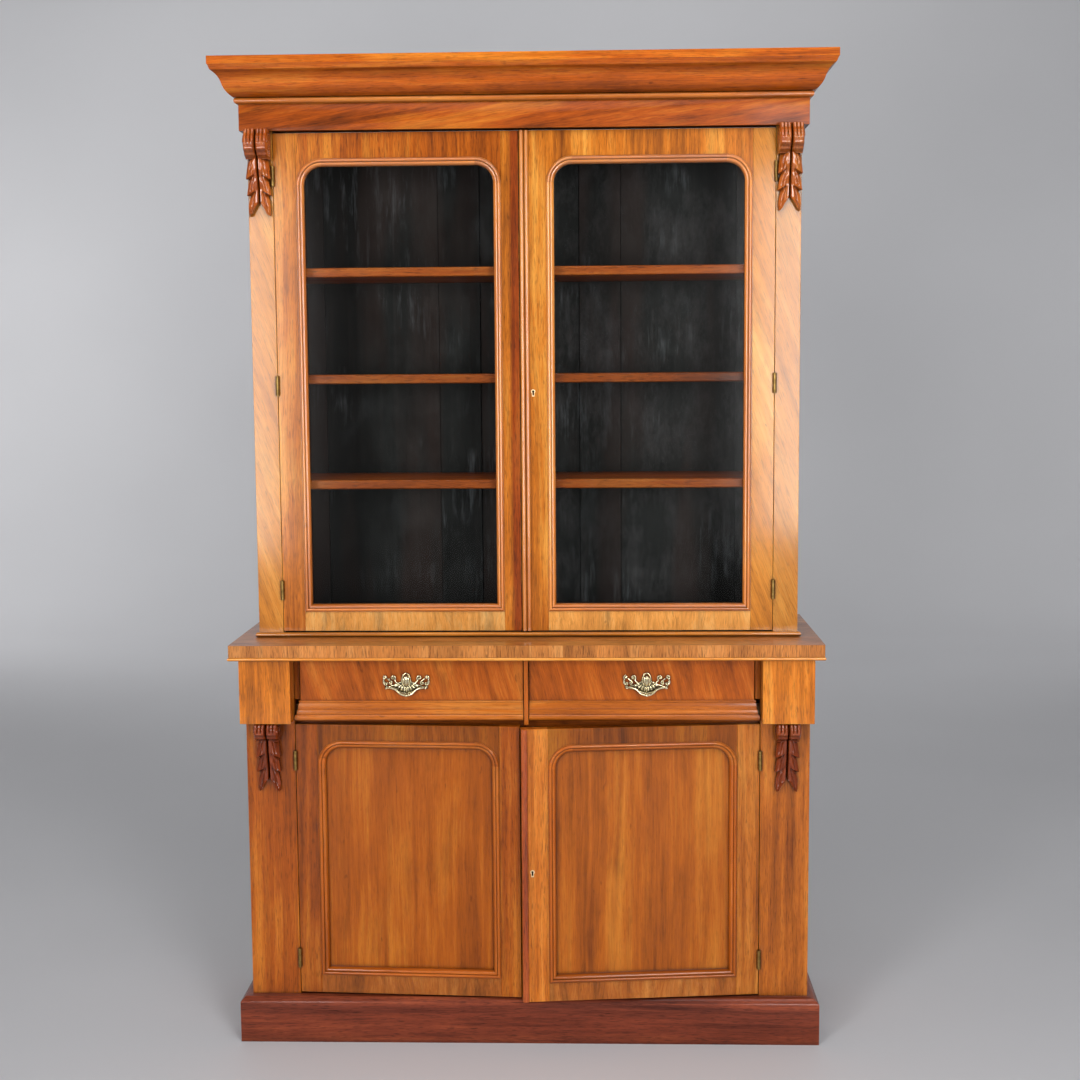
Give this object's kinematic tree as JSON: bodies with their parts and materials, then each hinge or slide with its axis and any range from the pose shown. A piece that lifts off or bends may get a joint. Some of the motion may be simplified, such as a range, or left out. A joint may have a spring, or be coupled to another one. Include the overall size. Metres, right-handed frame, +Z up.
{
  "type": "bookcase",
  "caption": "Tall wooden bookcase with glazed doors on a cupboard base with drawers, carved corbels, panelled doors and a moulded cornice.",
  "frame": {"origin": "on the floor, at mid width and mid depth of the whole", "axes": "+Z up, +X to the right of a person who faces the doors, -Y out of the front"},
  "size_m": [1.422, 0.472, 2.3],
  "materials": {
    "walnut": "french polished, glossy",
    "carved_walnut": "polished, darker in the hollows",
    "mahogany": "satin polish, worn",
    "dark_interior": "dark stained, matt",
    "shelf_wood": "stained, worn front edge",
    "pine": "bare, aged",
    "brass": "aged, dark in the recesses",
    "lock_brass": "aged",
    "bolt_steel": "dulled",
    "glass": "clear"
  },
  "bodies": {
    "case": {"plinth": "mahogany", "base_sides": "walnut", "base_bottom": "dark_interior", "base_back_boards": "pine", "base_pilasters": "walnut", "base_corbels": "carved_walnut", "drawer_blocks": "walnut", "drawer_rail_and_runners": "pine", "drawer_divider": "walnut", "cupboard_shelf": "dark_interior", "shelf_battens": "dark_interior", "waist_top": "walnut", "upper_sides": "walnut", "upper_bottom": "walnut", "upper_top": "dark_interior", "upper_back_frame": "dark_interior", "upper_back_panels": "dark_interior", "upper_pilasters": "walnut", "upper_corbels": "carved_walnut", "bookshelves": "shelf_wood", "cornice_frieze": "walnut", "cornice_moulding": "walnut", "cornice_dust_board": "pine", "case_hinge_leaves": "brass"},
    "upper_left_door": {"upper_left_door_frame": "walnut", "upper_left_door_moulding": "walnut", "upper_left_door_glass": "glass", "upper_left_door_hinge_leaves": "brass", "upper_left_door_bolt_plates": "bolt_steel"},
    "upper_left_door_top_bolt": {"upper_left_door_top_bolt": "bolt_steel"},
    "upper_left_door_bottom_bolt": {"upper_left_door_bottom_bolt": "bolt_steel"},
    "lower_left_door": {"lower_left_door_frame": "walnut", "lower_left_door_moulding": "walnut", "lower_left_door_panel": "walnut", "lower_left_door_hinge_leaves": "brass", "lower_left_door_bolt_plates": "bolt_steel"},
    "lower_left_door_top_bolt": {"lower_left_door_top_bolt": "bolt_steel"},
    "lower_left_door_bottom_bolt": {"lower_left_door_bottom_bolt": "bolt_steel"},
    "left_drawer": {"left_drawer_front": "walnut", "left_drawer_box": "pine", "left_drawer_handle_plate": "brass"},
    "left_drawer_handle_bail": {"left_drawer_handle_bail": "brass"},
    "upper_right_door": {"upper_right_door_frame": "walnut", "upper_right_door_moulding": "walnut", "upper_right_door_glass": "glass", "upper_right_door_hinge_leaves": "brass", "upper_right_door_astragal": "walnut", "upper_right_door_lock": "lock_brass"},
    "upper_right_door_lock_bolt": {"upper_right_door_lock_bolt": "lock_brass"},
    "lower_right_door": {"lower_right_door_frame": "walnut", "lower_right_door_moulding": "walnut", "lower_right_door_panel": "walnut", "lower_right_door_hinge_leaves": "brass", "lower_right_door_closing_bead": "walnut", "lower_right_door_lock": "lock_brass"},
    "lower_right_door_lock_bolt": {"lower_right_door_lock_bolt": "lock_brass"},
    "right_drawer": {"right_drawer_front": "walnut", "right_drawer_box": "pine", "right_drawer_handle_plate": "brass"},
    "right_drawer_handle_bail": {"right_drawer_handle_bail": "brass"}
  },
  "joints": [
    {"name": "upper_left_door_hinge", "type": "hinge", "parent": "case", "child": "upper_left_door", "pos_m": [-0.5795, -0.1097, 1.5565], "axis": [0, 0, -1], "range_deg": [0, 90]},
    {"name": "upper_right_door_hinge", "type": "hinge", "parent": "case", "child": "upper_right_door", "pos_m": [0.5795, -0.1097, 1.5565], "axis": [0, 0, 1], "range_deg": [0, 90]},
    {"name": "lower_left_door_hinge", "type": "hinge", "parent": "case", "child": "lower_left_door", "pos_m": [-0.5455, -0.1767, 0.439], "axis": [0, 0, -1], "range_deg": [-3, 102]},
    {"name": "lower_right_door_hinge", "type": "hinge", "parent": "case", "child": "lower_right_door", "pos_m": [0.5455, -0.1767, 0.439], "axis": [0, 0, 1], "range_deg": [-6, 99]},
    {"name": "left_drawer_slide", "type": "slide", "parent": "case", "child": "left_drawer", "axis": [0, -1, 0], "range_m": [0, 0.28]},
    {"name": "right_drawer_slide", "type": "slide", "parent": "case", "child": "right_drawer", "axis": [0, -1, 0], "range_m": [0, 0.28]},
    {"name": "left_drawer_bail_pivot", "type": "hinge", "parent": "left_drawer", "child": "left_drawer_handle_bail", "pos_m": [-0.281, -0.181, 0.853], "axis": [-1, 0, 0], "range_deg": [-10, 150]},
    {"name": "right_drawer_bail_pivot", "type": "hinge", "parent": "right_drawer", "child": "right_drawer_handle_bail", "pos_m": [0.281, -0.181, 0.853], "axis": [-1, 0, 0], "range_deg": [-10, 150]},
    {"name": "upper_lock_bolt_slide", "type": "slide", "parent": "upper_right_door", "child": "upper_right_door_lock_bolt", "axis": [-1, 0, 0], "range_m": [0, 0.008]},
    {"name": "lower_lock_bolt_slide", "type": "slide", "parent": "lower_right_door", "child": "lower_right_door_lock_bolt", "axis": [-0.9945, -0.1045, 0], "range_m": [0, 0.008]},
    {"name": "upper_left_top_bolt_slide", "type": "slide", "parent": "upper_left_door", "child": "upper_left_door_top_bolt", "axis": [0, 0, 1], "range_m": [0, 0.01]},
    {"name": "upper_left_bottom_bolt_slide", "type": "slide", "parent": "upper_left_door", "child": "upper_left_door_bottom_bolt", "axis": [0, 0, -1], "range_m": [0, 0.01]},
    {"name": "lower_left_top_bolt_slide", "type": "slide", "parent": "lower_left_door", "child": "lower_left_door_top_bolt", "axis": [0, 0, 1], "range_m": [0, 0.01]},
    {"name": "lower_left_bottom_bolt_slide", "type": "slide", "parent": "lower_left_door", "child": "lower_left_door_bottom_bolt", "axis": [0, 0, -1], "range_m": [0, 0.01]}
  ]
}
